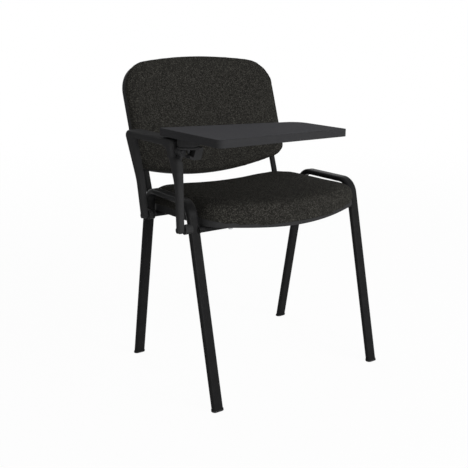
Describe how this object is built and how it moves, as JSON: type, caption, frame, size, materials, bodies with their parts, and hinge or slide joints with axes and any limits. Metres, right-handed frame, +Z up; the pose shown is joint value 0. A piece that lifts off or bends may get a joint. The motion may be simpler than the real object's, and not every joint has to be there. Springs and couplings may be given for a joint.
{
  "type": "tablet arm chair",
  "caption": "Stacking conference chair on a bent oval-tube frame, with an upholstered seat and back and a moulded arm that carries a folding, swivelling writing tablet.",
  "frame": {"origin": "on the floor, at the bottom centre of the whole chair's box with the tablet in its writing position", "axes": "+Z up, the sitter faces -Y, +X to the sitter's left; the arm and tablet are on the -X side"},
  "size_m": [0.5706, 0.6264, 0.819],
  "materials": {
    "frame_paint": "semi-matte black powder coat",
    "black_plastic": "fine-grained black moulding",
    "fabric": "charcoal woven fabric with fine pale flecks",
    "plywood": "unfinished bent plywood",
    "laminate": "charcoal melamine laminate on board",
    "edge_band": "charcoal plastic edge band",
    "steel": "zinc-plated fasteners",
    "black_steel": "blackened steel fasteners",
    "nylon": "dark grey glass-filled nylon"
  },
  "bodies": {
    "chair_frame": {"side_frame_right": "frame_paint", "side_frame_left": "frame_paint", "front_crossbar": "frame_paint", "rear_crossbar": "frame_paint", "back_upright_right": "frame_paint", "foot_cap_front_right": "black_plastic", "foot_cap_rear_right": "black_plastic", "back_upright_left": "frame_paint", "foot_cap_front_left": "black_plastic", "foot_cap_rear_left": "black_plastic", "seat_shell": "black_plastic", "seat_board": "plywood", "seat_cushion": "fabric", "seat_tee_nuts": "steel", "seat_bolts": "steel", "seat_washers": "steel", "back_shell": "black_plastic", "back_board": "plywood", "back_cushion": "fabric", "back_screws": "steel", "tablet_arm": "black_plastic", "arm_bracket_rear": "frame_paint", "arm_spacer_front": "black_plastic", "arm_spacer_rear": "black_plastic", "arm_insert_front": "steel", "arm_nut_rear": "black_steel", "arm_bolts": "black_steel", "arm_bolt_plugs": "black_plastic", "hinge_pin": "steel", "hinge_thrust_washer": "nylon", "hinge_end_washer": "black_steel", "hinge_end_screw": "black_steel"},
    "flip_bracket": {"tablet_bracket": "nylon", "hinge_bush": "nylon", "swivel_washer": "nylon", "swivel_spring_washer": "black_steel", "swivel_bolt": "black_steel", "swivel_nut": "black_steel"},
    "tablet": {"swivel_disc": "black_plastic", "tablet_board": "laminate", "tablet_edge_band": "edge_band", "tablet_screws": "steel"}
  },
  "joints": [
    {"name": "tablet_flip", "type": "hinge", "parent": "chair_frame", "child": "flip_bracket", "pos_m": [-0.26535, -0.11945, 0.618], "axis": [0, -1, 0], "range_deg": [0, 90]},
    {"name": "tablet_swivel", "type": "hinge", "parent": "flip_bracket", "child": "tablet", "pos_m": [-0.25285, -0.13595, 0.6307], "axis": [0, 0, -1], "range_deg": [0, 180]}
  ]
}
